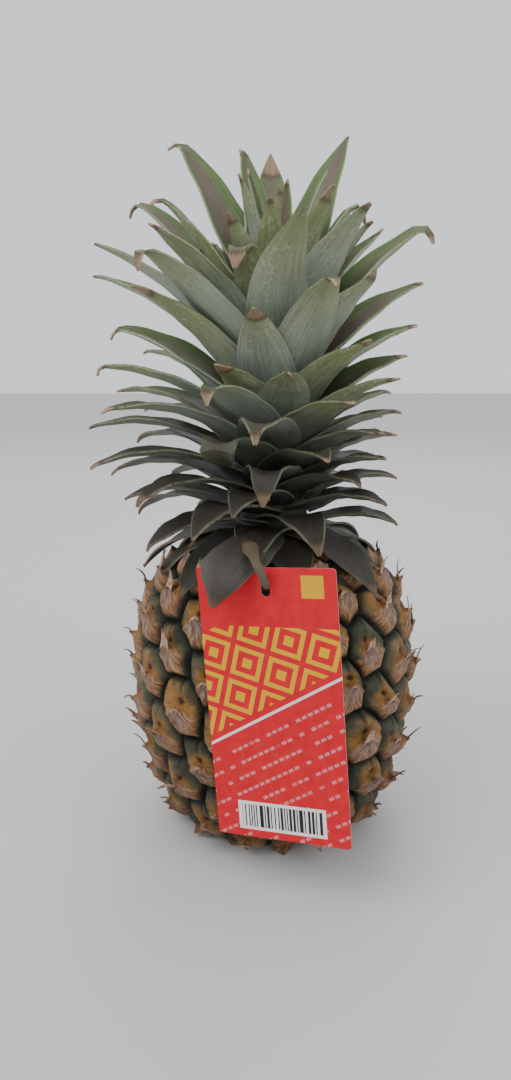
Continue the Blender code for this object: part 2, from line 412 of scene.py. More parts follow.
eight = np.array((turned_step(8), 8.0))
thirteen = np.array((turned_step(13), 13.0))
both = eight + thirteen
half_corners = [(eight + both) / 3, (both + thirteen) / 3, (thirteen - eight) / 3]
EYE_CORNERS = half_corners + [-corner for corner in half_corners]
eye_reach = max(corner[1] for corner in EYE_CORNERS)
EYES = range(math.ceil(eye_reach), int(curve_number[-1] - eye_reach))
print("eyes", len(EYES), "from the base to the neck")

# %% [markdown]
# ## The rind
#
# Each eye is a low dome with a deep crevice round it. Its lower half is covered by a dry papery bract, whose
# upper edge is a ridge that rises from both sides to a beak in the middle, and behind the beak is a small
# pit. One eye could be sculpted and copied, but neighbours share their crevices, so each eye is a six-sided
# fan of rings whose outer ring is the neighbours' too. The relief is a height worked out for every point.

# %% Shape one eye's relief
EYE_SIDE_STEPS = 7
EYE_RINGS = 12
CREVICE_DEPTH = 0.0036
CREVICE_START = 0.60
CREVICE_CURVE = 1.7
DOME_HEIGHT = 0.0009
RIDGE_SLANT = 0.16
RIDGE_FALL = 0.40
RIDGE_TOP = 0.0012
BRACT_HEIGHT = 0.0020
BRACT_LENGTH = 0.0075
BRACT_EDGE = (-0.0004, 0.0005)
BRACT_RIM = (1.0, 0.9)
BEAK_HEIGHT = 0.0020
BEAK_WIDTH = 0.0021
BEAK_LENGTH = 0.0020
PIT_DEPTH = 0.0013
PIT_PLACE = 0.0034
PIT_SIZE = 0.0021
PIT_SQUASH = 0.7
WRINKLE_DEPTH = 0.00030
WRINKLE_COUNT = 11
WRINKLE_HUB = 0.001
WRINKLE_START = (0.001, 0.006)


def eye_relief(across, up, share, seed):
    """The height, the bract's cover and the pit's cover over one eye, whose middle is at across = up = 0."""
    ridge = RIDGE_TOP + RIDGE_SLANT * across - RIDGE_FALL * np.abs(across)
    below = ridge - up
    bract = smooth_step(*BRACT_EDGE, below) * smooth_step(*BRACT_RIM, share)
    into_crevice = np.clip((share - CREVICE_START) / (1 - CREVICE_START), 0, 1)
    dome = DOME_HEIGHT * (1 - share**2) - CREVICE_DEPTH * into_crevice**CREVICE_CURVE
    cover = BRACT_HEIGHT * bract * np.exp(-np.maximum(below, 0) / BRACT_LENGTH) * (1 - share**4)
    beak = BEAK_HEIGHT * bract * np.exp(-(across / BEAK_WIDTH)**2 - ((up - RIDGE_TOP) / BEAK_LENGTH)**2)
    pit = np.exp(-(across / PIT_SIZE)**2 - ((up - PIT_PLACE) / (PIT_SQUASH * PIT_SIZE))**2)
    spread = np.arctan2(across, RIDGE_TOP + WRINKLE_HUB - up)
    far = smooth_step(*WRINKLE_START, np.hypot(across, up - RIDGE_TOP)) * (1 - share**3)
    wrinkle = WRINKLE_DEPTH * bract * far * np.sin(WRINKLE_COUNT * spread + seed)
    return dome + cover + beak - PIT_DEPTH * pit + wrinkle, bract, pit, spread


beak_height = eye_relief(np.array(0.0), np.array(RIDGE_TOP - BRACT_EDGE[1]), np.array(0.0), 0.0)[0]
print("a beak stands", round(float(beak_height) * 1000, 2), "mm over the skin")

# %% [markdown]
# The same fan of rings serves every eye: it is laid out once as offsets from the eye's middle, then wrapped
# on to the skin at each place on the spiral and pushed out by the relief. Each eye draws its own swelling and
# phase, and the relief grows calm near the neck, where the eyes are small and pressed by the leaves.

# %% Build the rind from its eyes
RIND_DRAWS = 5
WRINKLE_PHASES = 6.28
EYE_SWELLING = (-0.0003, 0.0005)
LUMPS = ((160, 0.0005), (420, 0.00022))
SHOULDER = (0.1270, 0.1130)
SHOULDER_RELIEF = 0.30

random.seed(RIND_DRAWS)
ring_shares = [1 - ring / EYE_RINGS for ring in range(EYE_RINGS)]
outline = []
for first, second in zip(EYE_CORNERS, EYE_CORNERS[1:] + EYE_CORNERS[:1]):
    outline += [first + (second - first) * step / EYE_SIDE_STEPS for step in range(EYE_SIDE_STEPS)]
outline = np.array(outline)
around = len(outline)
offsets = np.concatenate([*(outline * share for share in ring_shares), [[0.0, 0.0]]])
shares = np.concatenate([np.repeat(ring_shares, around), [0.0]])

eye_faces = []
for ring in range(EYE_RINGS - 1):
    for step in range(around):
        here, there = ring * around, (ring + 1) * around
        ahead = (step + 1) % around
        eye_faces.append((here + step, here + ahead, there + ahead, there + step))
last = (EYE_RINGS - 1) * around
eye_faces += [(last + step, last + (step + 1) % around, EYE_RINGS * around) for step in range(around)]

rind_points, rind_faces = [], []
rind_numbers = {"edge": [], "bract": [], "pit": [], "seed": [], "spread": []}
for eye in EYES:
    seed = random.random()
    swell = random.uniform(*EYE_SWELLING)
    angle, number = jostled(EYE_START - eye * GOLDEN_ANGLE + offsets[:, 0], eye + offsets[:, 1])
    point, outward, _, size = skin_frame(angle, number)
    across, up = offsets[:, 0] * WIDEST, offsets[:, 1] * EYE_RISE
    height, bract, pit, spread = eye_relief(across, up, shares, WRINKLE_PHASES * seed)
    lumps = np.array([sum(noise.noise(Vector(p) * scale) * size for scale, size in LUMPS) for p in point])
    height = height + swell * (1 - shares**2) + lumps
    start = len(rind_points) * len(offsets)
    calm = 1 - (1 - SHOULDER_RELIEF) * smooth_step(SHOULDER[1], SHOULDER[0], point[:, 2])
    rind_points.append(point + outward * (height * size * calm)[:, None])
    rind_faces += [tuple(start + corner for corner in face) for face in eye_faces]
    for name, values in (("edge", shares), ("bract", bract), ("pit", pit), ("spread", spread),
                         ("seed", np.full(len(shares), seed))):
        rind_numbers[name].append(values)
rind = mesh_object("rind", np.concatenate(rind_points), rind_faces)
for name, values in rind_numbers.items():
    set_attribute(rind, name, np.concatenate(values))
print("rind points", len(rind.data.vertices), "faces", len(rind.data.polygons))

# %% [markdown]
# The fruit stands on a flat where it was trimmed. Bisect cuts the eyes off level at the base and at the
# neck and fills both cuts. The largest face at the base is then extruded twice, drawn in and lifted, which
# leaves a ring to stand on and a hollow for the stalk.

# %% Trim the rind and hollow its underside
BASE_RING = 0.70
BASE_SLOPE = 0.85
BASE_HOLLOW = 0.0022
CUT_REACH = 1e-7
LEVEL_REACH = 1e-6
RIND_SMOOTH = 50

face_outwards(rind)
select_only(rind)
bpy.ops.object.mode_set(mode="EDIT")
for height, clear_inner in ((fruit_low[2], True), (FRUIT_TOP, False)):
    bpy.ops.mesh.select_all(action="SELECT")
    bpy.ops.mesh.bisect(plane_co=(0, 0, height), plane_no=(0, 0, 1), threshold=CUT_REACH, use_fill=True,
                        clear_inner=clear_inner, clear_outer=not clear_inner)
bpy.ops.mesh.select_all(action="SELECT")
bpy.ops.mesh.normals_make_consistent(inside=False)
bpy.ops.mesh.select_all(action="DESELECT")
bpy.ops.object.mode_set(mode="OBJECT")
level = [face for face in rind.data.polygons if face.center.z < fruit_low[2] + LEVEL_REACH]
max(level, key=lambda face: face.area).select = True
bpy.ops.object.mode_set(mode="EDIT")
bpy.ops.mesh.select_mode(type="FACE")
bpy.ops.mesh.extrude_region_move(TRANSFORM_OT_translate={"value": (0, 0, 0)})
bpy.ops.transform.resize(value=(BASE_RING, BASE_RING, 1), center_override=(0, 0, fruit_low[2]))
bpy.ops.mesh.extrude_region_move(TRANSFORM_OT_translate={"value": (0, 0, BASE_HOLLOW)})
bpy.ops.transform.resize(value=(BASE_SLOPE, BASE_SLOPE, 1), center_override=(0, 0, fruit_low[2]))
bpy.ops.object.mode_set(mode="OBJECT")
shade(rind, RIND_SMOOTH)
print("faces at the base", len(level))

# %% [markdown]
# The rind's colour follows its relief: dark green at each crevice, deepened to near black in its depth as
# painted shade, ochre towards the middle of the eye, dry tan on the bract and a red-brown pit. Noise breaks
# every border, because no two eyes ripen alike.

# %% The rind's finish
FLESH_TONES = ((0.20, 0.080, 0.012), (0.38, 0.180, 0.034))
GREEN_TONES = ((0.030, 0.034, 0.016), (0.085, 0.092, 0.044))
BRACT_TONES = ((0.150, 0.066, 0.026), (0.390, 0.205, 0.092))
MAUVE_TONES = ((0.115, 0.060, 0.046), (0.360, 0.240, 0.190))
PIT_TONE = (0.06, 0.016, 0.009)
CREVICE_GREEN_AND_SHADE = (0.012, 0.015, 0.008)
BRACT_SPAN = (0.35, 0.65)
SKIN_RELIEF = 0.0008

paint = Graph("rind_skin")
place = paint.place()
height = paint.split(place)[2]
edge, bract, pit, seed = (paint.read(name) for name in ("edge", "bract", "pit", "seed"))
spread = paint.read("spread")
patches = paint.noise(place, 95.0, 3.0, 0.6)
grain = paint.noise(place, 620.0, 4.0, 0.65)
streaks = paint.noise(paint.vector(spread * 5.0, edge * 1.3, seed * 91.0), 2.4, 3.0, 0.65)
ripe = (1.16 - edge * 1.32 + (patches - 0.5) * 1.5 + (seed - 0.5) * 0.4).between(0.05, 0.80)
flesh = paint.blend(streaks, FLESH_TONES)
green = paint.blend(patches, GREEN_TONES, (0.35, 0.7))
skin = paint.mix(ripe, green, flesh)
dry = paint.blend(streaks, BRACT_TONES, BRACT_SPAN)
mauve = paint.blend(streaks, MAUVE_TONES, BRACT_SPAN)
dry = paint.mix((edge + (grain - 0.5) * 0.5).between(0.75, 0.15), dry, mauve)
skin = paint.mix(bract * (0.30 + patches * 1.1).between(0.2, 0.9), skin, dry)
skin = paint.mix(pit.between(0.35, 0.85), skin, PIT_TONE)
# The crevice's own dark green, deepened to near black at its depth as painted shade.
skin = paint.mix((edge + (patches - 0.5) * 0.20).between(0.74, 0.95), skin, CREVICE_GREEN_AND_SHADE)
# Painted shade: the rind's colour is darkened towards the bottom, near the floor, and is full above about 75
# mm.
skin = paint.darken(skin, height.between(0.004, 0.075) * 0.35 + 0.68)
relief = grain * 0.5 + streaks * 0.9 + paint.noise(place, 1500.0, 2.0) * 0.3
dull = 0.42 + grain * 0.25
rind.data.materials.append(paint.finish(skin, dull, relief, SKIN_RELIEF, Specular_IOR_Level=0.4))
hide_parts("fruit")
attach(rind, "root")

# %% [markdown]
# ## The bristles
#
# Every bract ends in a dry pointed tip that curls away from the fruit. They are too fine for the rind's mesh,
# so each is a tapering strip of a few rings with four corners, bent by its own amounts. The ones behind the
# card lie flat.

# %% Shape one bristle
BRISTLE_RINGS = 6
BRISTLE_LENGTH = 0.0078
BRISTLE_WIDTH = 0.0052
BRISTLE_THICKNESS = 0.00045
BRISTLE_THINNING = 0.7
BRISTLE_TAPER = 0.9
BRISTLE_TIP = 0.00012
BRISTLE_SINK = 0.0016
BRISTLE_SEAT = 0.35
BRISTLE_LENGTHS = (0.55, 1.35)
BRISTLE_WIDTHS = (0.7, 1.3)
BRISTLE_LIFTS = (5, 35)
BRISTLE_CURLS = (-20, 95)
BRISTLE_SWAY = 0.9
SWAY_CURVE = 1.5
PRESSED_LENGTH = 0.45
CARD_ANGLE = math.radians(-93.0)
CARD_SPAN = math.radians(38.0)
CARD_FOOT = 0.018


def bristle(eye):
    """The points of one bristle, as rings of four."""
    angle = np.array([EYE_START - eye * GOLDEN_ANGLE])
    angle, number = jostled(angle, np.array([eye + RIDGE_TOP / EYE_RISE]))
    point, outward, upward, size = (line[0] for line in skin_frame(angle, number))
    sideways = np.cross(upward, outward)
    from_card = (angle[0] - CARD_ANGLE + math.pi) % (2 * math.pi) - math.pi
    pressed = abs(from_card) < CARD_SPAN and point[2] > CARD_FOOT
    length = BRISTLE_LENGTH * size * random.uniform(*BRISTLE_LENGTHS) * (PRESSED_LENGTH if pressed else 1.0)
    start_lift = math.radians(random.uniform(*BRISTLE_LIFTS))
    curl = math.radians(random.uniform(*BRISTLE_CURLS)) * (0.0 if pressed else 1.0)
    sway = random.uniform(-BRISTLE_SWAY, BRISTLE_SWAY)
    width = BRISTLE_WIDTH * size * random.uniform(*BRISTLE_WIDTHS)
    middle = point + outward * (BRACT_HEIGHT + BEAK_HEIGHT * BRISTLE_SEAT) * size - upward * BRISTLE_SINK
    rings = []
    for ring in range(BRISTLE_RINGS):
        along = ring / (BRISTLE_RINGS - 1)
        lift = start_lift + curl * along
        lean = sway * along**SWAY_CURVE
        forward = unit(upward * math.cos(lift) + outward * math.sin(lift) + sideways * lean)
        face = unit(np.cross(forward, sideways))
        side = np.cross(face, forward) * (width / 2 * (1 - along)**BRISTLE_TAPER + BRISTLE_TIP)
        thick = face * (BRISTLE_THICKNESS * (1 - BRISTLE_THINNING * along))
        rings.append([middle + side, middle + thick, middle - side, middle - thick])
        middle = middle + forward * length / (BRISTLE_RINGS - 1)
    return rings


print("a bristle has", BRISTLE_RINGS, "rings and is about", BRISTLE_LENGTH, "m long")

# %% [markdown]
# All the bristles are one piece, with one at every eye but the smallest ones at the base and under the
# leaves. Each gets its rings joined by four-sided faces and its two ends closed.

# %% Build the bristles
BRISTLE_DRAWS = 11
BRISTLE_CORNERS = 4
BARE_BASE = 0.006
BARE_NECK = 0.012
BRISTLE_SMOOTH = 60

random.seed(BRISTLE_DRAWS)
last_ring = BRISTLE_CORNERS * (BRISTLE_RINGS - 1)
bristle_points, bristle_faces, bristle_along = [], [], []
for eye in EYES:
    tip_height = skin_frame(np.array(0.0), np.array(float(eye)))[0][2]
    if not BARE_BASE < tip_height < FRUIT_TOP - BARE_NECK:
        continue
    start = len(bristle_points)
    for ring, corners in enumerate(bristle(eye)):
        bristle_points += corners
        bristle_along += [ring / (BRISTLE_RINGS - 1)] * BRISTLE_CORNERS
    bristle_faces.append(tuple(start + corner for corner in reversed(range(BRISTLE_CORNERS))))
    bristle_faces.append(tuple(start + last_ring + corner for corner in range(BRISTLE_CORNERS)))
    for here in range(start, start + last_ring, BRISTLE_CORNERS):
        there = here + BRISTLE_CORNERS
        for corner in range(BRISTLE_CORNERS):
            ahead = (corner + 1) % BRISTLE_CORNERS
            bristle_faces.append((here + corner, here + ahead, there + ahead, there + corner))
bristles = mesh_object("bract_bristles", bristle_points, bristle_faces)
set_attribute(bristles, "along", bristle_along)
face_outwards(bristles)
shade(bristles, BRISTLE_SMOOTH)
print("bristles", len(bristle_points) // (BRISTLE_CORNERS * BRISTLE_RINGS))

# %% [markdown]
# A bristle is papery and pale where it leaves the eye, and its tip is scorched dark by the sun.

# %% The bristles' finish
PAPER_TONES = ((0.26, 0.125, 0.075), (0.50, 0.34, 0.25))
SCORCHED_TONE = (0.10, 0.045, 0.030)
PAPER_GRAIN = 900.0

paint = Graph("dry_bristle")
along = paint.read("along")
grain = paint.noise(paint.place(), PAPER_GRAIN)
tone = paint.blend(grain, PAPER_TONES)
tone = paint.mix(along.between(0.45, 1.0), tone, SCORCHED_TONE)
bristles.data.materials.append(paint.finish(tone, 0.7, grain, 0.0003))
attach(bristles, "root")

# %% [markdown]
# ## The crown's leaves
#
# Every leaf grows from one short stem, each a golden angle on from the last. A leaf is a stiff blade: wide
# where it clasps the stem, channelled along its length and tapering to a point. The low ones lie out flat,
# the inner ones stand up. A grid is added for each blade, wrapped round the stem along an arc, and given its
# thickness by a Solidify modifier. What changes from the lowest leaf to the highest is a table of stops.

# %% The crown's sizes and rules
LEAF_COUNT = 96
COLLAR_COUNT = 39
CROWN_START = math.radians(260.0)
STEM_BASE = FRUIT_TOP + 0.0023
STEM_RISE = 0.074
STEM_FOOT = 0.0160
STEM_HEAD = 0.0026
STEM_TAPER = 0.9
STEM_GAP = 0.0003
LEAF_LIFT = ((0.0, -9.0), (0.13, 3.0), (0.25, 9.0), (0.5, 27.0), (0.74, 46.0), (0.86, 59.0),
             (0.93, 68.0), (1.0, 84.0))
LEAF_BEND = ((0.0, 56.0), (0.25, 50.0), (0.5, 44.0), (0.75, 36.0), (0.9, 24.0), (1.0, 8.0))
LEAF_REACH = ((0.0, 0.048), (0.13, 0.050), (0.25, 0.058), (0.42, 0.062), (0.5, 0.072), (0.6, 0.080),
              (0.7, 0.090), (0.8, 0.090), (0.88, 0.094), (0.94, 0.096), (1.0, 0.076))
LEAF_WIDTH = ((0.0, 0.024), (0.25, 0.0265), (0.5, 0.0285), (0.75, 0.0315), (0.9, 0.030), (1.0, 0.017))
LEAF_ROOT_ANGLE = math.radians(38.0)
LEAF_THICKNESS = 0.0009
LEAF_TIP_SHARE = 0.03
LEAF_TAPER = 2.0
LEAF_GUTTER = 0.34
LEAF_GUTTER_SPAN = (0.2, 0.75)
LEAF_FULLNESS = 0.92
LEAF_LEAN = ((0.0, 0.20), (0.5, 0.20), (0.75, 0.10), (1.0, 0.04))
LEAF_ROWS = 30
LEAF_COLUMNS = 8
print("leaves", LEAF_COUNT, "of which in the collar", COLLAR_COUNT)

# %% [markdown]
# No real leaf keeps to the rule exactly. These tables, keyed by the leaf's number from the lowest, give some
# leaves their own length, turn and lift, say where a tip is broken over and how far a blade is twisted, and
# set how much of a tip is dry.

# %% What single leaves do differently
LEAF_OWN_REACH = {3: 1.0, 5: 1.0, 7: 0.6, 11: 0.95, 23: 0.65, 34: 1.15, 42: 0.9, 45: 1.01, 47: 0.62,
                  50: 0.55, 52: 0.7, 53: 0.95, 55: 0.76, 57: 0.74, 58: 0.9, 60: 0.9, 61: 1.1, 62: 0.88,
                  65: 0.73, 66: 0.97, 68: 0.94, 70: 0.94, 71: 0.85, 74: 1.08, 76: 0.7, 78: 0.72, 79: 0.87,
                  81: 0.62, 82: 0.85, 83: 0.79, 84: 0.62, 85: 1.07, 86: 0.7, 87: 1.0, 88: 1.0, 89: 0.6,
                  91: 0.78, 92: 0.75, 93: 0.8, 94: 0.73, 95: 0.87}
LEAF_OWN_TURN = {3: 15, 5: -10, 13: -15, 21: 15, 23: -10, 29: 15, 33: -15, 35: 15, 41: -10, 50: 15,
                 54: -15, 55: 2, 58: 10, 61: 11, 63: -10, 65: -10, 68: 1, 70: -8, 74: -6, 82: 10, 87: -16,
                 90: -8, 91: 10, 94: 8}
LEAF_OWN_LIFT = {55: 4, 57: -4, 58: 2, 65: -3, 70: 2, 74: 3, 83: 2, 94: 7, 95: -2}

# Where a blade is broken over: how far along it, and by how many degrees it hangs from there.
LEAF_BREAK = {21: (0.80, 70), 29: (0.72, 150), 34: (0.95, 50), 42: (0.90, 70), 45: (0.96, 60), 53: (0.93, 60),
              60: (0.94, 60), 63: (0.93, 110), 65: (0.95, -60), 70: (0.93, 100), 72: (0.92, 90),
              74: (0.94, 95), 76: (0.86, 110), 79: (0.94, 70), 82: (0.66, 140), 83: (0.90, 120),
              87: (0.95, 80), 90: (0.96, 50)}
WHOLE_LEAF = (0.97, 0)

# How far a blade is turned about its own middle line, as the sine of the turn at its tip.
LEAF_TWIST = {49: 0.3, 53: -0.25, 57: 0.3, 62: 0.25, 70: 0.45, 74: -0.25, 79: -0.25, 87: -0.55, 88: 0.42}

# Where the dry tip starts along a blade, by how many degrees the tip curls, and how far the blade sways.
LEAF_OWN_NATURE = {
    50: {"dry": 0.88, "curl": 0}, 55: {"dry": 0.90, "curl": -6}, 61: {"dry": 1.0, "curl": 10},
    62: {"dry": 0.97, "curl": 18}, 63: {"dry": 0.94}, 66: {"dry": 1.0, "curl": 10},
    68: {"dry": 1.03, "curl": -14, "sway": 0.10}, 70: {"dry": 0.965}, 74: {"dry": 0.955},
    79: {"dry": 0.96}, 80: {"dry": 0.98, "curl": 0}, 81: {"dry": 0.98, "curl": 0},
    85: {"dry": 0.86, "curl": 0}, 87: {"dry": 0.965}, 88: {"dry": 1.02, "curl": -4},
    89: {"dry": 0.98, "curl": 0}, 90: {"dry": 0.955}, 91: {"dry": 1.0, "curl": 0},
    93: {"dry": 0.97, "curl": 0}, 94: {"dry": 0.97, "curl": 0}, 95: {"dry": 0.97, "curl": 0},
}
LEAF_DRAWS = 3
LEAF_DRY = (0.91, 0.985)
LEAF_CURL = (-12, 40)
LEAF_SWAY = (-0.05, 0.05)
OLD_NATURES = 40

random.seed(LEAF_DRAWS)
leaf_nature = [{"tone": random.random(), "dry": random.uniform(*LEAF_DRY), "curl": random.uniform(*LEAF_CURL),
                "sway": random.uniform(*LEAF_SWAY)} for _ in range(LEAF_COUNT + OLD_NATURES)]
for number, own in LEAF_OWN_NATURE.items():
    leaf_nature[number].update(own)
print("broken tips", len(LEAF_BREAK), "twisted blades", len(LEAF_TWIST))

# %% [markdown]
# A leaf's middle line is walked out in short steps from the stem. Its slope starts steep, flattens evenly
# along the arc, drops where the blade is broken, and curls a little at the very tip.

# %% Find a leaf's middle line
BREAK_SPAN = 0.035
CURL_START = 0.93
STIFF_FROM = 0.6
STIFF_CURL = 0.4


def leaf_turn(number):
    return CROWN_START - number * GOLDEN_ANGLE + math.radians(LEAF_OWN_TURN.get(number, 0))


def stem_radius(share):
    return STEM_FOOT + (STEM_HEAD - STEM_FOOT) * share**STEM_TAPER


def walk_out(slope, step, radius, height):
    """The radius and the height that equal steps along a changing slope come to."""
    middle = (slope[1:] + slope[:-1]) / 2
    outwards = np.concatenate([[0], np.cumsum(step * np.cos(middle))])
    upwards = np.concatenate([[0], np.cumsum(step * np.sin(middle))])
    return radius + outwards, height + upwards


def leaf_spine(number):
    """The middle line of a leaf at LEAF_ROWS + 1 places: radius, height and slope."""
    share = number / (LEAF_COUNT - 1)
    lift = math.radians(ramp(LEAF_LIFT, share) + LEAF_OWN_LIFT.get(number, 0))
    bend = math.radians(ramp(LEAF_BEND, share))
    usual = LEAF_FULLNESS - ramp(LEAF_LEAN, share) * math.cos(leaf_turn(number))
    fullness = LEAF_OWN_REACH.get(number, usual)
    length = ramp(LEAF_REACH, share) * (bend / 2) / math.sin(bend / 2)
    along = np.linspace(0, 1, LEAF_ROWS + 1)
    slope = lift + bend / 2 - bend * along * fullness
    place, hang = LEAF_BREAK.get(number, WHOLE_LEAF)
    slope = slope - math.radians(hang) * smooth_step(place - BREAK_SPAN, place + BREAK_SPAN, along)
    curl = leaf_nature[number]["curl"] * (1.0 if share < STIFF_FROM else STIFF_CURL)
    slope = slope - math.radians(curl) * smooth_step(CURL_START, 1.0, along)
    step = length * fullness / LEAF_ROWS
    radius, height = walk_out(slope, step, stem_radius(share) + STEM_GAP, STEM_BASE + STEM_RISE * share)
    return radius, height, slope


print("the top leaf ends", round(float(leaf_spine(LEAF_COUNT - 1)[1][-1]) * 1000, 1), "mm up")

# %% [markdown]
# The blade's two faces differ: the inner one is green with a brown-purple stripe, the outer one pale with
# wax. So each blade carries how far along and across a point is, which face it is on, and the leaf's own age.

# %% Make one blade
def around_axis(radius, angle, height):
    return np.stack([radius * np.cos(angle), radius * np.sin(angle), height], -1)


def half_width(width, along):
    """Half a blade's width, which narrows ever faster towards the tip."""
    return width / 2 * (1 - (1 - LEAF_TIP_SHARE) * along**LEAF_TAPER)


def wrapped_blade(name, rows, place):
    """A grid whose points go where place(along, across) says, with its thickness and attributes."""
    bpy.ops.object.select_all(action="DESELECT")
    bpy.ops.mesh.primitive_grid_add(x_subdivisions=LEAF_COLUMNS, y_subdivisions=rows, size=2)
    blade = bpy.context.object
    blade.name = name
    blade.data.name = name
    flat = np.empty(len(blade.data.vertices) * 3, dtype=np.float32)
    blade.data.vertices.foreach_get("co", flat)
    flat = flat.reshape(-1, 3).astype(float)
    across, along = flat[:, 0], (flat[:, 1] + 1) / 2
    points = place(along, across)
    blade.data.vertices.foreach_set("co", points.astype(np.float32).ravel())
    set_attribute(blade, "along", along)
    set_attribute(blade, "across", across)
    solidify = blade.modifiers.new("thickness", "SOLIDIFY")
    solidify.thickness = LEAF_THICKNESS
    solidify.offset = 0
    apply_all(blade)
    count = len(blade.data.vertices)
    set_attribute(blade, "inner", np.arange(count) >= count // 2)
    return blade


print("a blade's grid is", LEAF_ROWS, "by", LEAF_COLUMNS)

# %% [markdown]
# Each margin carries a row of small hooked spines. A spine is only a double pyramid of six faces, because
# thousands of them are made: three corners lie along the margin and at the tip, and two give it thickness.

# %% Make the spines of a blade
TOOTH_STEP = 0.0034
TOOTH_BASE = 0.0011
TOOTH_THICKNESS = 0.0003
TOOTH_SINK = 0.0003
TOOTH_SIZE = ((0.0, 0.0016), (0.45, 0.0015), (0.7, 0.0009), (1.0, 0.0006))
TOOTH_SIZES = (0.6, 1.3)
TOOTH_START = 0.12
TOOTH_SHARE = 0.86
TOOTH_JITTER = 0.5
TOOTH_OUT = 0.75
TOOTH_FORWARD = 0.9
TOOTH_FACES = ((0, 2, 3), (2, 1, 3), (1, 0, 3), (2, 0, 4), (1, 2, 4), (0, 1, 4))
NEAR_MARGIN = 0.8


def teeth(name, place, length, size):
    """Small forward-pointing spines along both margins, each a closed double pyramid."""
    points, faces, alongs, sides = [], [], [], []
    count = int(TOOTH_SHARE * length / TOOTH_STEP)
    for side in (-1.0, 1.0):
        for tooth in range(count):
            along = TOOTH_START + (tooth + random.random() * TOOTH_JITTER) * TOOTH_STEP / length
            ahead = along + TOOTH_BASE / length
            reaches = np.array([side, side, side * NEAR_MARGIN])
            near, far, inside = place(np.array([along, ahead, along]), reaches)
            outwards = unit(near - inside)
            forward = unit(far - near)
            rise = np.cross(outwards, forward) * TOOTH_THICKNESS
            sink = outwards * TOOTH_SINK
            middle = (near + far) / 2 - sink
            hook = outwards * TOOTH_OUT + forward * TOOTH_FORWARD
            corners = [near - sink, far - sink, middle + hook * size * random.uniform(*TOOTH_SIZES),
                       middle + rise, middle - rise]
            faces += [tuple(len(points) + corner for corner in face) for face in TOOTH_FACES]
            points += corners
            alongs += [along] * len(corners)
            sides += [side] * len(corners)
    made = mesh_object(name, points, faces)
    set_attribute(made, "along", alongs)
    set_attribute(made, "across", sides)
    set_numbers(made, inner=0.5)
    return made


print("spines of a full size", TOOTH_SIZE[0][1] * 1000, "mm at the lowest leaves")

# %% [markdown]
# A finished leaf puts these together. Its place function wraps the flat grid round the stem: the middle line
# gives the radius and the height, and going across it turns about the fruit's axis, hollows the blade like a
# gutter, ripples the margin and twists it. The spines use the same function, so they sit on the margin.

# %% Make one leaf
WAVES = ((0.00022, 19, 1), (0.00012, 31, 2))
WAVE_PHASES = 40
WAVE_SPAN = (0.25, 0.6)
TWIST_SPAN = (0.15, 0.6)
SWAY_START = 0.5
LEAST_RADIUS = 0.001
LEAF_SMOOTH = 45


def make_leaf(number, name):
    """One finished leaf of the crown, numbered from the lowest."""
    share = number / (LEAF_COUNT - 1)
    turn = leaf_turn(number)
    nature = leaf_nature[number]
    radius, height, slope = leaf_spine(number)
    rows = np.linspace(0, 1, LEAF_ROWS + 1)
    width = ramp(LEAF_WIDTH, share)
    crinkle = nature["tone"] * WAVE_PHASES
    twist = LEAF_TWIST.get(number, 0.0)

    def place(along, across):
        r, z, lean = (np.interp(along, rows, line) for line in (radius, height, slope))
        half = half_width(width, along)
        spread = np.minimum(half / np.maximum(r, LEAST_RADIUS), LEAF_ROOT_ANGLE)
        gutter = LEAF_GUTTER * half * np.interp(along, LEAF_GUTTER_SPAN, (0, 1))
        tilt, ripple = (size * np.sin(along * pace + crinkle * turns) for size, pace, turns in WAVES)
        wave = tilt * across + ripple
        rise = gutter * across**2 + wave * smooth_step(*WAVE_SPAN, along)
        rise = rise + twist * half * across * smooth_step(*TWIST_SPAN, along)
        angle = turn + spread * across + nature["sway"] * smooth_step(SWAY_START, 1.0, along)
        return around_axis(r - np.sin(lean) * rise, angle, z + np.cos(lean) * rise)

    blade = wrapped_blade(name, LEAF_ROWS, place)
    length = ramp(LEAF_REACH, share)
    spines = teeth(name + "_spines", place, length, ramp(TOOTH_SIZE, share))
    select_only(blade, spines)
    bpy.ops.object.join()
    set_numbers(blade, age=share, tone=nature["tone"], dry=nature["dry"])
    shade(blade, LEAF_SMOOTH)
    return blade


print("the widest blade", max(stop[1] for stop in LEAF_WIDTH), "m")

# %% [markdown]
# ## The leaf's finish
#
# One material serves every leaf, because it reads the leaf's age and tone from the mesh. Fine lines run along
# the blade: a noise whose place is stretched along it gives them. The tip and a thin line at each margin are
# dry and tan.

# %% The leaf material
WAXED_TONES = ((0.255, 0.305, 0.245), (0.400, 0.445, 0.370))
OLIVE_TONES = ((0.185, 0.215, 0.085), (0.300, 0.325, 0.150))
BLOOM_TONE = (0.50, 0.53, 0.47)
OLD_OUTER_TONES = ((0.052, 0.060, 0.046), (0.108, 0.118, 0.098))
LEAFY_TONES = ((0.085, 0.145, 0.045), (0.160, 0.235, 0.085))
PURPLE_TONES = ((0.135, 0.082, 0.072), (0.215, 0.150, 0.125))
OLD_INNER_TONES = ((0.024, 0.026, 0.018), (0.056, 0.056, 0.038))
OLD_STRIPE_TONE = (0.045, 0.026, 0.022)
BLOTCH_TONE = (0.200, 0.135, 0.060)
MARGIN_TONE = (0.215, 0.180, 0.085)
SCORCH_TONE = (0.090, 0.050, 0.025)
TIP_TONES = ((0.220, 0.140, 0.075), (0.420, 0.310, 0.190))
LEAF_RELIEF = 0.0004


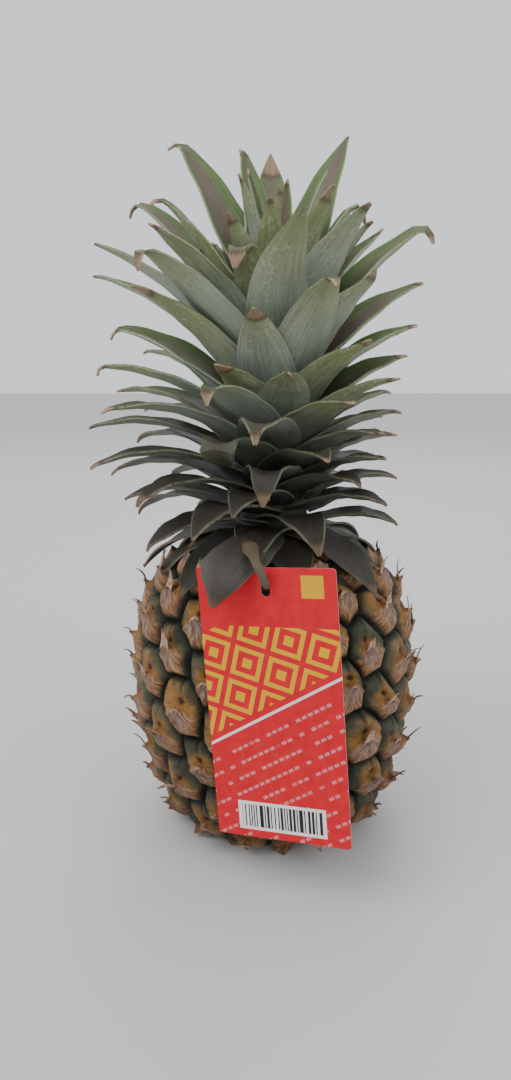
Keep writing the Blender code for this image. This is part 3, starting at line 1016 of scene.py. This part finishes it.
def leaf_finish(name):
    paint = Graph(name)
    along, across, inner = (paint.read(label) for label in ("along", "across", "inner"))
    age, tone, dry = (paint.read(label) for label in ("age", "tone", "dry"))
    off_middle = across.size()
    lines = paint.noise(paint.vector(across * 9.0, along * 1.6, tone * 37.0), 2.2, 4.0, 0.6)
    fine = paint.noise(paint.vector(across * 30.0, along * 3.0, tone * 17.0), 2.0, 3.0, 0.6)
    cloud = paint.noise(paint.vector(across * 1.6, along * 5.0, tone * 53.0), 1.6, 4.0, 0.6)
    grit = paint.noise(paint.place(), 700.0, 3.0, 0.6)

    # The outer face: pale with wax near the base, greener to olive towards the tip.
    waxed = paint.blend(lines, WAXED_TONES)
    olive = paint.blend(lines, OLIVE_TONES)
    greening = (along + (cloud - 0.5) * 0.7 + (tone - 0.5) * 0.5).between(0.30, 0.95)
    outside = paint.mix(greening, waxed, olive)
    outside = paint.mix((cloud * grit).between(0.27, 0.40) * 0.5, outside, BLOOM_TONE)
    old_outside = paint.blend(lines, OLD_OUTER_TONES)
    outside = paint.mix(age.between(0.54, 0.20), outside, old_outside)

    # The inner face: green margins and a brown-purple stripe down the middle.
    stripe = (off_middle + (lines - 0.5) * 0.45).between(0.80, 0.30) * along.between(0.05, 0.35)
    leafy = paint.blend(lines, LEAFY_TONES)
    purple = paint.blend(fine, PURPLE_TONES)
    inside = paint.mix(stripe * (0.50 + tone * 0.45), leafy, purple)
    old_inside = paint.blend(lines, OLD_INNER_TONES)
    old_inside = paint.mix(stripe * 0.5, old_inside, OLD_STRIPE_TONE)
    inside = paint.mix(age.between(0.58, 0.22), inside, old_inside)

    face = paint.mix(inner.between(0.35, 0.65), outside, inside)
    face = paint.darken(face, 0.86 + fine * 0.28)
    blotch = (cloud * lines).between(0.36, 0.44) * 0.35
    face = paint.mix(blotch, face, BLOTCH_TONE)

    # The margin's thin dry line shows most on old leaves. The tip is scorched first, then tan beyond that.
    margin = age.between(0.60, 0.20) * 0.34 + 0.08
    margin = off_middle.between(0.955, 0.99) * margin * lines.between(0.25, 0.6)
    face = paint.mix(margin, face, MARGIN_TONE)
    past_dry = along + (fine - 0.5) * 0.10 - dry
    face = paint.mix(past_dry.between(-0.035, 0.0), face, SCORCH_TONE)
    tan = paint.darken(paint.blend(fine, TIP_TONES), age.between(0.0, 0.5) * 0.6 + 0.4)
    face = paint.mix(past_dry.between(-0.01, 0.025), face, tan)
    relief = fine * 0.6 + lines * 0.6 + grit * 0.3
    return paint.finish(face, 0.44 + grit * 0.18, relief, LEAF_RELIEF, Specular_IOR_Level=0.45)


leaf_paint = leaf_finish("leaf_blade")

# %% [markdown]
# Every leaf above the collar is a piece of its own and takes the place of one plain leaf of the model, so
# that it can be moved or left out alone. The numbers in their names run from the lowest up.

# %% Make the long leaves, one piece for each leaf of the model
for number in range(COLLAR_COUNT, LEAF_COUNT):
    node = f"leaf_{number - COLLAR_COUNT + 1:02d}"
    blade = make_leaf(number, node.replace("leaf", "blade"))
    blade.data.materials.append(leaf_paint)
    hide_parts(node)
    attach(blade, "root")
print("long leaves", LEAF_COUNT - COLLAR_COUNT)

# %% [markdown]
# ## The collar
#
# The lowest leaves are short, dark and dry, and they droop over the fruit's shoulder and hide its neck. They
# and the stem they grow on are one piece. A few more old ones lie under them, on the same spiral.

# %% Make the stem
STEM_SIDES = 24
STEM_INSET = 0.001
STEM_SINK = 0.002

bpy.ops.object.select_all(action="DESELECT")
bpy.ops.mesh.primitive_cone_add(vertices=STEM_SIDES, depth=STEM_RISE, radius1=STEM_FOOT - STEM_INSET,
                                radius2=STEM_HEAD - STEM_INSET,
                                location=(0, 0, STEM_BASE - STEM_SINK + STEM_RISE / 2))
stem = bpy.context.object
stem.name = "crown_stem_with_collar"
bpy.ops.object.transform_apply(location=True, rotation=True, scale=True)
set_numbers(stem, along=0.05, across=0.0, inner=1.0, age=0.0, tone=0.5, dry=1.2)
print("stem", STEM_RISE, "m tall")

# %% [markdown]
# The oldest leaves have lost their spines. They leave the neck level and then droop, each a little lower than
# the last, so the same grid and the same walk along a slope make them, with numbers of their own.

# %% Shape the old leaves under the collar
SKIRT_COUNT = 30
SKIRT_LENGTH = 0.040
SKIRT_LENGTHS = (0.85, 0.4)
SKIRT_WIDTH = 0.024
SKIRT_LIFT = math.radians(-2.0)
SKIRT_DROP = math.radians(0.75)
SKIRT_BEND = math.radians(46.0)
SKIRT_ROWS = 14
SKIRT_ROOT = 0.0006
SKIRT_STEP = 0.00006
SKIRT_GUTTER = 0.35
SKIRT_WAVE = 0.0007
SKIRT_WAVE_PACE = 9
SKIRT_DRYNESS = 0.05


def skirt_leaf(number):
    """One old leaf under the collar. It leaves the neck level and droops on to the fruit's shoulder."""
    turn = CROWN_START + (number + 1) * GOLDEN_ANGLE
    nature = leaf_nature[LEAF_COUNT + number]
    length = SKIRT_LENGTH * (SKIRT_LENGTHS[0] + SKIRT_LENGTHS[1] * nature["tone"])
    rows = np.linspace(0, 1, SKIRT_ROWS + 1)
    slope = SKIRT_LIFT - SKIRT_DROP * number - SKIRT_BEND * rows
    root = STEM_BASE - SKIRT_ROOT - SKIRT_STEP * number
    radius, height = walk_out(slope, length / SKIRT_ROWS, STEM_FOOT - STEM_INSET, root)

    def place(along, across):
        r, z, lean = (np.interp(along, rows, line) for line in (radius, height, slope))
        half = half_width(SKIRT_WIDTH, along)
        wave = SKIRT_WAVE * np.sin(along * SKIRT_WAVE_PACE + number) * across
        rise = SKIRT_GUTTER * half * across**2 * along + wave
        r = r - np.sin(lean) * rise
        return around_axis(r, turn + half / r * across, z + np.cos(lean) * rise)

    blade = wrapped_blade(f"skirt_{number}", SKIRT_ROWS, place)
    set_numbers(blade, age=0.0, tone=nature["tone"], dry=nature["dry"] - SKIRT_DRYNESS)
    shade(blade, LEAF_SMOOTH)
    return blade


print("old leaves under the collar", SKIRT_COUNT)

# %% [markdown]
# The stem, the collar's leaves and the old ones are joined, because the model has them as one solid. The
# attributes of all of them have the same names, so joining keeps them.

# %% Join the collar
collar_parts = [make_leaf(number, f"collar_{number}") for number in range(COLLAR_COUNT)]
collar_parts += [skirt_leaf(number) for number in range(SKIRT_COUNT)]
select_only(stem, *collar_parts)
bpy.ops.object.join()
stem.data.materials.clear()
stem.data.materials.append(leaf_finish("collar_leaf"))
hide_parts("crown_stem")
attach(stem, "root")
print("collar faces", len(stem.data.polygons))

# %% [markdown]
# ## The two old leaves at the card
#
# One dark leaf hangs over the card's corner, and the dried tip of another passes through the slot and holds
# the card up. Each follows a smooth curve through a few given places.

# %% Make the leaves that hold the card
CARD_CENTRE = (-0.0012, -0.0680, 0.0752)
CARD_YAW = math.radians(-21.0)
CARD_ROLL = math.radians(-4.5)
HANGING_ROUTE = ((-0.004, -0.014, 0.1292), (-0.0090, -0.030, 0.1320), (-0.0145, -0.050, 0.1320),
                 (-0.0180, -0.0640, 0.1285), (-0.0205, -0.0715, 0.1215), (-0.0225, -0.0722, 0.1135))
HANGING_WIDTH = ((0.0, 0.018), (0.35, 0.026), (0.65, 0.025), (0.85, 0.015), (1.0, 0.0012))
HOLDING_ROUTE = ((-0.0120, -0.036, 0.1315), (-0.0105, -0.054, 0.1325), (-0.0078, -0.0690, 0.1290),
                 (-0.0052, -0.0722, 0.1235), (-0.0044, -0.0690, 0.1195), (-0.0038, -0.0610, 0.1195))
HOLDING_WIDTH = ((0.0, 0.010), (0.4, 0.006), (0.6, 0.0028), (1.0, 0.0016))
ROUTE_STEPS = 6
ROUTE_WAVE = 0.0005
ROUTE_WAVE_PACE = 13


def route_leaf(name, route, widths, hollow, sideways, dry):
    """A blade along a smooth curve. Its middle line is the curve, and sideways is across it."""
    line = smooth_outline(route, ROUTE_STEPS)
    gaps = np.linalg.norm(np.diff(line, axis=0), axis=1)
    travelled = np.concatenate([[0], np.cumsum(gaps)]) / gaps.sum()
    forward = np.gradient(line, axis=0)
    forward = forward / np.linalg.norm(forward, axis=1)[:, None]
    side = np.array(sideways) - forward * (forward @ np.array(sideways))[:, None]
    side = side / np.linalg.norm(side, axis=1)[:, None]
    above = np.cross(side, forward)

    def at(lines, along):
        return np.stack([np.interp(along, travelled, lines[:, axis]) for axis in range(3)], -1)

    def place(along, across):
        half = ramp(widths, along)[:, None] / 2
        across = across[:, None]
        bow = hollow * half * across**2 + ROUTE_WAVE * np.sin(along * ROUTE_WAVE_PACE)[:, None] * across
        return at(line, along) + at(side, along) * half * across + at(above, along) * bow

    blade = wrapped_blade(name, len(line), place)
    set_numbers(blade, age=0.0, tone=0.4, dry=dry)
    shade(blade, LEAF_SMOOTH)
    return blade


hanging = route_leaf("hanging_leaf", HANGING_ROUTE, HANGING_WIDTH, 0.5, (1.0, -0.25, 0.1), 0.97)
holding = route_leaf("holding_leaf_tip", HOLDING_ROUTE, HOLDING_WIDTH, 0.6, (1.0, -0.1, 0.0), 0.35)
for blade in (hanging, holding):
    blade.data.materials.append(bpy.data.materials["collar_leaf"])
    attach(blade, "root")
print("two old leaves hold the card")

# %% [markdown]
# ## The card
#
# The card is flat and its shape is already right, so the model's own solid stays and only gets a better
# finish. A Mapping node turns the pattern to the card's own directions, and two more slant with the print:
# along the band and over it. The edge of a printed shape is a step only a fraction of a millimetre wide.

# %% Lay the print out on the card
BAND_SLANT = math.radians(29.0)
SHARP = 0.00012
RED_TONES = ((0.56, 0.010, 0.018), (0.66, 0.016, 0.026))
YELLOW = (0.70, 0.37, 0.012)
WHITE = (0.80, 0.76, 0.74)
BLACK = (0.020, 0.020, 0.022)
BACK_TONES = ((0.60, 0.58, 0.54), (0.68, 0.66, 0.62))

paint = Graph("printed_card")
turned = paint.add("ShaderNodeMapping", {"vector_type": "TEXTURE"},
                   {"Vector": paint.place(), "Location": CARD_CENTRE, "Rotation": (0.0, CARD_ROLL, CARD_YAW)})
right, depth, up = paint.split(turned)
along = right * math.cos(BAND_SLANT) + up * math.sin(BAND_SLANT)
over = up * math.cos(BAND_SLANT) - right * math.sin(BAND_SLANT)
wear = paint.noise(turned, 240.0, 4.0, 0.6)
red = paint.blend(wear, RED_TONES, (0.25, 0.75))


def inside_box(box):
    """1 inside a box given by its middle and half sizes."""
    middle_x, middle_y, half_x, half_y = box
    return ((right - middle_x).size().between(half_x + SHARP, half_x - SHARP)
            * (up - middle_y).size().between(half_y + SHARP, half_y - SHARP))


print("print slanted by", round(math.degrees(BAND_SLANT)), "degrees")

# %% [markdown]
# The print is plain and generic. Its upper part is a band of diamonds with a slanting line below it. The
# fractional part of a place makes a pattern repeat: the distance from each cell's own diamond, in cells, then
# gives a ring and a dot.

# %% Print the diamonds and the line
DIAMOND = 0.0185
BAND_FOOT = (0.0015 - SHARP, 0.0015 + SHARP)
BAND_HEAD = (0.0355, 0.0353)
BAND_TOP = (0.0300, 0.0298)
LINE_PLACE = -0.0012
LINE_EDGE = (0.0006, 0.0004)

cell_along = (along * (1 / DIAMOND)).part() - 0.5
cell_over = (over * (1 / DIAMOND)).part() - 0.5
reach = (cell_along.size() + cell_over.size() - 0.5).size()
ring = reach.between(0.07, 0.08) * reach.between(0.21, 0.20)
dot = reach.between(0.36, 0.37)
band = over.between(*BAND_FOOT) * over.between(*BAND_HEAD) * up.between(*BAND_TOP)
card = paint.mix((ring + dot) * band, red, YELLOW)
line = (over - LINE_PLACE).size().between(*LINE_EDGE)
card = paint.mix(line, card, WHITE)
print("diamonds every", DIAMOND * 1000, "mm")

# %% [markdown]
# The lower part has rows of faint dashes, with some left out by a noise that is read once for each dash. A
# panel of bars is made the same way, from a noise read once for each bar, so it stands for no number.

# %% Print the dashes, the patch and the bars
DASH_ROW = 0.0050
DASHES = 380.0
DASH_SHIFT = 0.37
DASH_EDGE = (-0.0035, -0.0037)
DASH_FAINT = 0.26
BAR_PANEL = (0.0, -0.0425, 0.0168, 0.0056)
BAR_FIELD = (0.0, -0.0425, 0.0154, 0.0044)
BARS = 2100.0
BAR_SHARE = 0.485
CORNER_PATCH = (0.0170, 0.0445, 0.0040, 0.0040)

rows = over * (1 / DASH_ROW)
row = rows.whole()
shifted = along * DASHES + row * DASH_SHIFT
dash = (shifted.part() - 0.5).size().between(0.38, 0.34) * (rows.part() - 0.5).size().between(0.13, 0.10)
breaks = paint.noise(paint.vector(shifted.whole(), row, 0.0), 3.7, 0.0)
dash = dash * breaks.between(0.42, 0.46) * over.between(*DASH_EDGE)
card = paint.mix(dash * DASH_FAINT, card, WHITE)
card = paint.mix(inside_box(CORNER_PATCH), card, YELLOW)
card = paint.mix(inside_box(BAR_PANEL), card, WHITE)
bar_noise = paint.noise(paint.vector((right * BARS).whole(), 0.0, 0.0), 0.83, 0.0)
card = paint.mix(inside_box(BAR_FIELD) * (bar_noise > BAR_SHARE), card, BLACK)
print("the bar panel is", BAR_PANEL[2] * 2000, "mm wide")

# %% [markdown]
# The back of the card is plain board. It is told from the front by how deep a point lies in the card.

# %% Finish the card
BACK_DEPTH = (0.00005, 0.0001)
CARD_RELIEF = 0.0001

card = paint.mix(depth.between(*BACK_DEPTH), card, paint.blend(wear, BACK_TONES))
card_paint = paint.finish(card, 0.46 + wear * 0.12, wear, CARD_RELIEF, Specular_IOR_Level=0.22)

tag = bpy.data.objects["tag"]
for slot in tag.material_slots:
    slot.material = card_paint
print("card faces", len(tag.data.polygons), "slots", len(tag.material_slots))

# %% [markdown]
# ## The stalk's scar
#
# Underneath, the fruit was cut from its stalk. A short woody disc sits in the hollow: a cylinder whose lower
# face is inset four times, and whose edges are bevelled, so that its rings catch the light.

# %% Make the stalk
STALK_RADIUS = 0.0115
STALK_SIDES = 40
STALK_DEPTH = 0.0050
STALK_FOOT = 0.0006
STALK_INSETS = ((0.0016, 0.0), (0.0012, -0.0005), (0.0030, 0.0003), (0.0020, -0.0003))
STALK_WORN = 0.0003
STALK_SMOOTH = 40

bpy.ops.object.select_all(action="DESELECT")
bpy.ops.mesh.primitive_cylinder_add(vertices=STALK_SIDES, radius=STALK_RADIUS, depth=STALK_DEPTH,
                                    location=(0, 0, fruit_low[2] + STALK_FOOT + STALK_DEPTH / 2))
stalk = bpy.context.object
stalk.name = "stalk_scar"
bpy.ops.object.transform_apply(location=True, rotation=True, scale=True)
for face in stalk.data.polygons:
    face.select = face.normal.z < -0.9
bpy.ops.object.mode_set(mode="EDIT")
bpy.ops.mesh.select_mode(type="FACE")
for thickness, depth in STALK_INSETS:
    bpy.ops.mesh.inset(thickness=thickness, depth=depth)
bpy.ops.object.mode_set(mode="OBJECT")
bevel = stalk.modifiers.new("worn_edge", "BEVEL")
bevel.width = STALK_WORN
bevel.segments = 2
bevel.limit_method = "ANGLE"
apply_all(stalk)
shade(stalk, STALK_SMOOTH)
print("stalk", STALK_RADIUS * 2000, "mm across")

# %% [markdown]
# The cut shows the ends of coarse fibres, so its noise is read level with the cut and doesn't change with the
# height. The wood darkens towards its rim.

# %% The stalk's finish
FIBRE_TONES = ((0.18, 0.105, 0.050), (0.46, 0.33, 0.19))
RIM_TONE = (0.10, 0.065, 0.035)
RIM_SPAN = (0.0085, 0.0110)

paint = Graph("cut_stalk")
x, y, _ = paint.split(paint.place())
from_middle = (x * x + y * y)**0.5
fibre = paint.noise(paint.vector(x, y, 0.0), 1600.0, 3.0, 0.7)
wood = paint.blend(fibre, FIBRE_TONES)
wood = paint.mix(from_middle.between(*RIM_SPAN) * 0.7, wood, RIM_TONE)
stalk.data.materials.append(paint.finish(wood, 0.8, fibre, 0.0004))
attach(stalk, "root")

# %% [markdown]
